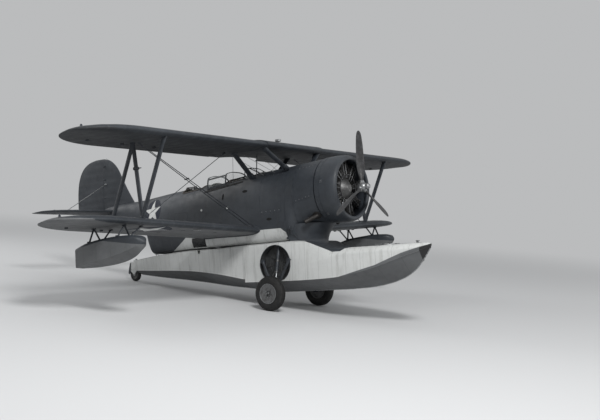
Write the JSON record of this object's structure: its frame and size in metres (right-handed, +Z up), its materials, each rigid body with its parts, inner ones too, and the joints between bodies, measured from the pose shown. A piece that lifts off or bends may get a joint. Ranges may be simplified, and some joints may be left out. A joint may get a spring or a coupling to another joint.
{
  "type": "amphibian float biplane",
  "caption": "Single-engine biplane on one large central float, with tip floats, wheels beside the float, tail wheel, hollow cockpits and moving control surfaces.",
  "frame": {"origin": "on the floor under the centre of the aircraft's plan box", "axes": "+X forward towards the bow, +Y to port along the span, +Z up, with all three tyres on z = 0"},
  "size_m": [10.6114, 11.876, 3.9995],
  "materials": {
    "hull_paint": "matt blue-grey paint",
    "doped_fabric": "doped fabric in matt blue-grey",
    "float_paint": "light grey paint",
    "under_paint": "mid grey paint",
    "bare_steel": "satin",
    "dark_metal": "matt black paint",
    "tyre_rubber": "matt",
    "seat_leather": "worn",
    "cockpit_paint": "matt green-grey paint"
  },
  "bodies": {
    "airframe": {"float_hull": "float_paint", "forward_fuselage": "hull_paint", "cabin_shell": "hull_paint", "tail_cone": "hull_paint", "cockpit_floor": "cockpit_paint", "instrument_panel": "dark_metal", "pilot_seat": "seat_leather", "observer_seat": "seat_leather", "engine": "bare_steel", "engine_cowl": "hull_paint", "upper_wing_centre": "doped_fabric", "upper_wing_left": "doped_fabric", "upper_wing_right": "doped_fabric", "lower_wing_left": "doped_fabric", "lower_wing_right": "doped_fabric", "fin": "hull_paint", "tailplane_left": "hull_paint", "tailplane_right": "hull_paint", "wing_strut_left": "hull_paint", "cabane_front_left": "hull_paint", "cabane_rear_left": "hull_paint", "flying_wire_front_left": "bare_steel", "flying_wire_rear_left": "bare_steel", "landing_wire_left": "bare_steel", "tip_float_left": "under_paint", "tip_float_struts_left": "hull_paint", "tail_brace_left": "bare_steel", "wing_strut_right": "hull_paint", "cabane_front_right": "hull_paint", "cabane_rear_right": "hull_paint", "flying_wire_front_right": "bare_steel", "flying_wire_rear_right": "bare_steel", "landing_wire_right": "bare_steel", "tip_float_right": "under_paint", "tip_float_struts_right": "hull_paint", "tail_brace_right": "bare_steel", "windscreen": "hull_paint", "main_gear_leg_left": "bare_steel", "main_gear_leg_right": "bare_steel", "tail_wheel_mount": "float_paint", "hoist_fitting": "bare_steel", "bow_cleat": "bare_steel", "exhaust_left": "bare_steel", "exhaust_right": "bare_steel"},
    "propeller": {"propeller": "dark_metal"},
    "main_wheel_left": {"main_wheel_left": "tyre_rubber"},
    "main_wheel_right": {"main_wheel_right": "tyre_rubber"},
    "tail_fork": {"tail_wheel_fork": "float_paint", "water_rudder": "hull_paint"},
    "tail_wheel": {"tail_wheel": "tyre_rubber"},
    "rudder": {"rudder": "doped_fabric"},
    "elevators": {"elevator_left": "doped_fabric", "elevator_right": "doped_fabric"},
    "upper_aileron_left": {"upper_aileron_left": "doped_fabric"},
    "upper_aileron_right": {"upper_aileron_right": "doped_fabric"},
    "lower_aileron_left": {"lower_aileron_left": "doped_fabric"},
    "lower_aileron_right": {"lower_aileron_right": "doped_fabric"},
    "sliding_hood": {"sliding_hood": "hull_paint"}
  },
  "joints": [
    {"name": "propeller_spin", "type": "hinge", "parent": "airframe", "child": "propeller", "pos_m": [3.54674, 0, 2.80425], "axis": [0.9871, 0, 0.1604], "continuous": true},
    {"name": "main_wheel_left_spin", "type": "hinge", "parent": "airframe", "child": "main_wheel_left", "pos_m": [2.02705, 0.93, 0.373], "axis": [0, 1, 0], "continuous": true},
    {"name": "main_wheel_right_spin", "type": "hinge", "parent": "airframe", "child": "main_wheel_right", "pos_m": [2.02705, -0.93, 0.373], "axis": [0, 1, 0], "continuous": true},
    {"name": "tail_fork_steer", "type": "hinge", "parent": "airframe", "child": "tail_fork", "pos_m": [-2.96756, 0, 0.42247], "axis": [-0.1604, 0, 0.9871], "range_deg": [-40, 40]},
    {"name": "tail_wheel_spin", "type": "hinge", "parent": "tail_fork", "child": "tail_wheel", "pos_m": [-2.96219, 0, 0.165], "axis": [0, 1, 0], "continuous": true},
    {"name": "rudder_hinge", "type": "hinge", "parent": "airframe", "child": "rudder", "pos_m": [-4.22656, 0, 1.63624], "axis": [-0.1604, 0, 0.9871], "range_deg": [-25, 25]},
    {"name": "elevator_hinge", "type": "hinge", "parent": "airframe", "child": "elevators", "pos_m": [-4.33353, 0, 1.60872], "axis": [0, 1, 0], "range_deg": [-20, 28]},
    {"name": "aileron_hinge", "type": "hinge", "parent": "airframe", "child": "upper_aileron_left", "pos_m": [0.51545, 4.19, 3.34687], "axis": [0, 1, 0], "range_deg": [-20, 20]},
    {"name": "upper_aileron_right_hinge", "type": "hinge", "parent": "airframe", "child": "upper_aileron_right", "pos_m": [0.51545, -4.19, 3.34687], "axis": [0, 1, 0], "range_deg": [-20, 20]},
    {"name": "lower_aileron_left_hinge", "type": "hinge", "parent": "airframe", "child": "lower_aileron_left", "pos_m": [0.10052, 4.18692, 1.61724], "axis": [-0.0071, 0.999, 0.0434], "range_deg": [-20, 20]},
    {"name": "lower_aileron_right_hinge", "type": "hinge", "parent": "airframe", "child": "lower_aileron_right", "pos_m": [0.10052, -4.18692, 1.61724], "axis": [0.0071, 0.999, -0.0434], "range_deg": [-20, 20]},
    {"name": "hood_slide", "type": "slide", "parent": "airframe", "child": "sliding_hood", "axis": [0.9631, 0, 0.2693], "range_m": [0, 0.51]}
  ],
  "couplings": [
    {"joint": "upper_aileron_right_hinge", "follows": "aileron_hinge", "ratio": -1},
    {"joint": "lower_aileron_left_hinge", "follows": "aileron_hinge", "ratio": 1},
    {"joint": "lower_aileron_right_hinge", "follows": "aileron_hinge", "ratio": -1}
  ]
}
